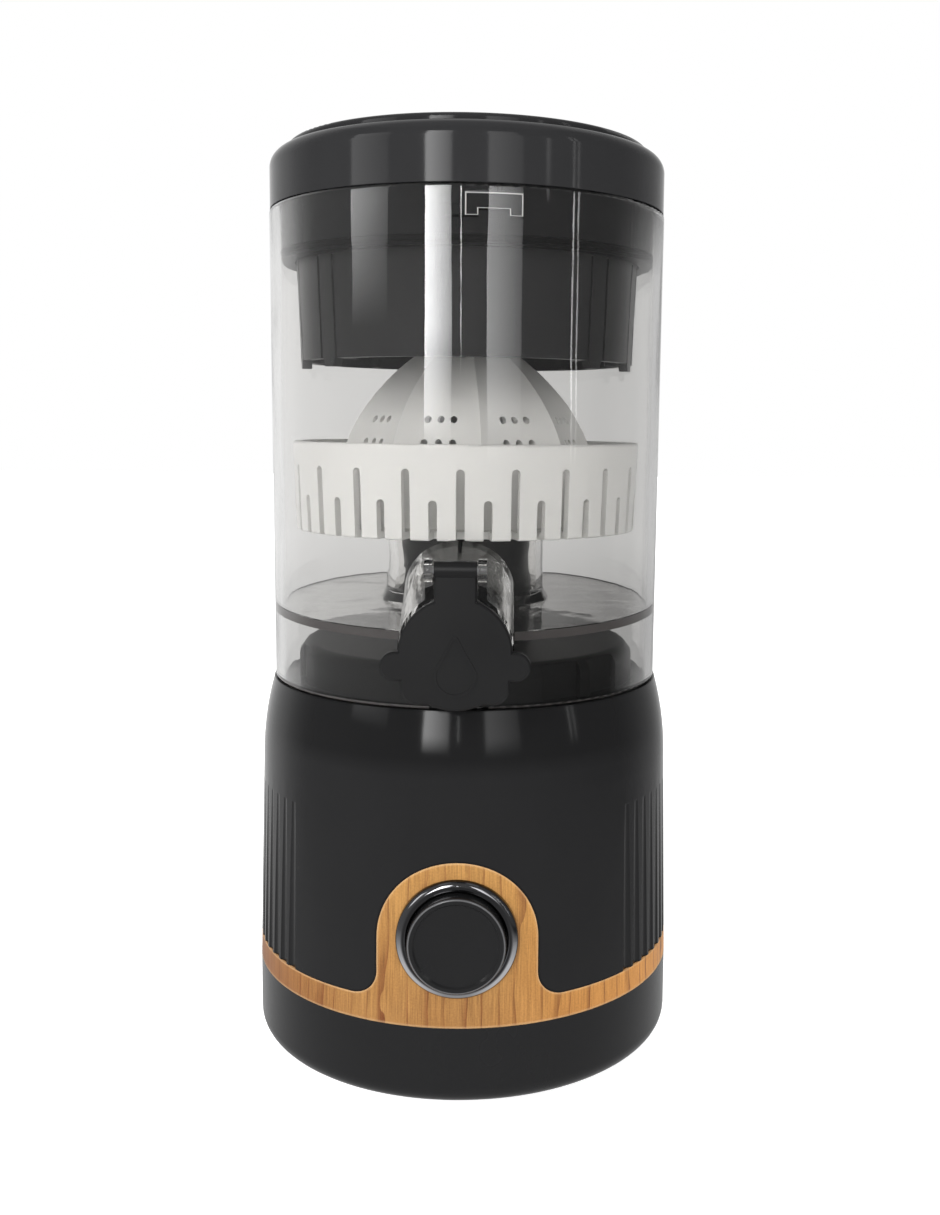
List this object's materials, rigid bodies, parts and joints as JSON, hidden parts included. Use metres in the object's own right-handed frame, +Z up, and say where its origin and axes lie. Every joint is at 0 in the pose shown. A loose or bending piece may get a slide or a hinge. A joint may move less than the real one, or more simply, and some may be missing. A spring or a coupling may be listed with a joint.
{
  "type": "citrus press juicer",
  "caption": "Cordless citrus juicer with a round motor base, a clear cup and spout, a ridged reamer in a slotted strainer and a lid with a sprung presser.",
  "frame": {"origin": "on the table, at the centre of the four feet under the juicer's axis", "axes": "+Z up along the juicer's axis, front with the spout and the button towards -Y, +X to the right seen from the front"},
  "size_m": [0.124, 0.1444, 0.2609],
  "materials": {
    "satin_black": "satin moulded black plastic",
    "gloss_black": "polished moulded black plastic",
    "inner_black": "fine ribbed black plastic",
    "wood_grain": "straight grained wood, sealed",
    "foot_rubber": "matt black rubber",
    "seal_rubber": "soft black silicone",
    "steel": "plain zinc plated steel",
    "chrome_ring": "polished chrome",
    "board_green": "green solder mask",
    "switch_black": "moulded black plastic",
    "cell_wrap": "steel can in blue shrink film",
    "brass_part": "machined brass",
    "gear_white": "natural acetal",
    "case_grey": "glass filled grey plastic",
    "plate_aluminium": "stamped aluminium",
    "motor_steel": "drawn steel can",
    "clear_plastic": "clear moulded plastic",
    "white_plastic": "satin off-white plastic"
  },
  "bodies": {
    "base": {"motor_housing": "satin_black", "bottom_shell": "satin_black", "wood_trim": "wood_grain", "rubber_feet": "foot_rubber", "bottom_screws": "steel", "button_bezel": "chrome_ring", "push_switch": "switch_black", "switch_board": "board_green", "control_board": "board_green", "board_screws": "steel", "charging_socket": "steel", "battery_cells": "cell_wrap", "battery_cradle": "case_grey", "idler_axle": "steel", "gearbox_case": "case_grey", "gearbox_plate": "plate_aluminium", "gearbox_screws": "steel", "gearbox_mount_screws": "steel", "motor_screws": "steel", "drive_motor": "motor_steel", "motor_end_cap": "switch_black", "motor_terminals": "brass_part", "lower_bush": "brass_part", "upper_bush": "brass_part", "shaft_seal": "seal_rubber"},
    "button": {"power_button": "satin_black", "switch_plunger": "switch_black"},
    "drive": {"output_gear": "gear_white", "output_shaft": "steel", "shaft_clip": "steel", "drive_coupling": "switch_black"},
    "idler": {"idler_gear": "gear_white"},
    "rotor": {"motor_pinion": "brass_part", "rotor_shaft": "steel"},
    "cup": {"juice_cup": "clear_plastic", "spout_hinge_pin": "steel"},
    "flap": {"spout_flap": "satin_black", "spout_seal": "seal_rubber"},
    "reamer": {"strainer_basket": "white_plastic", "reamer_cone": "white_plastic"},
    "lid": {"lid_cap": "gloss_black", "lid_disc": "gloss_black", "lid_seal": "seal_rubber", "presser_retainer": "inner_black", "press_spring": "steel"},
    "presser": {"presser": "inner_black"}
  },
  "joints": [
    {"name": "button_press", "type": "slide", "parent": "base", "child": "button", "axis": [0, 1, 0], "range_m": [0, 0.0015], "stiffness_N_per_m": 800, "springref_m": -0.001},
    {"name": "cup_lift", "type": "slide", "parent": "base", "child": "cup", "axis": [0, 0, 1], "range_m": [0, 0.07]},
    {"name": "flap_hinge", "type": "hinge", "parent": "cup", "child": "flap", "pos_m": [0, -0.07965, 0.1476], "axis": [-1, 0, 0], "range_deg": [0, 100]},
    {"name": "reamer_spin", "type": "hinge", "parent": "cup", "child": "reamer", "pos_m": [0, 0, 0.1538], "axis": [0, 0, 1], "continuous": true},
    {"name": "drive_spin", "type": "hinge", "parent": "base", "child": "drive", "pos_m": [0, 0, 0.084], "axis": [0, 0, 1], "continuous": true},
    {"name": "idler_spin", "type": "hinge", "parent": "base", "child": "idler", "pos_m": [0.0288, 0, 0.0755], "axis": [0, 0, 1], "continuous": true},
    {"name": "rotor_spin", "type": "hinge", "parent": "base", "child": "rotor", "pos_m": [0, 0, 0.0755], "axis": [0, 0, 1], "continuous": true},
    {"name": "lid_lift", "type": "slide", "parent": "cup", "child": "lid", "axis": [0, 0, 1], "range_m": [0, 0.06]},
    {"name": "presser_travel", "type": "slide", "parent": "lid", "child": "presser", "axis": [0, 0, 1], "range_m": [0, 0.012], "stiffness_N_per_m": 700, "springref_m": -0.02, "deforming": ["press_spring"]}
  ],
  "couplings": [
    {"joint": "drive_spin", "follows": "reamer_spin", "ratio": 1},
    {"joint": "idler_spin", "follows": "reamer_spin", "ratio": -4.1429},
    {"joint": "rotor_spin", "follows": "reamer_spin", "ratio": 20.714}
  ]
}
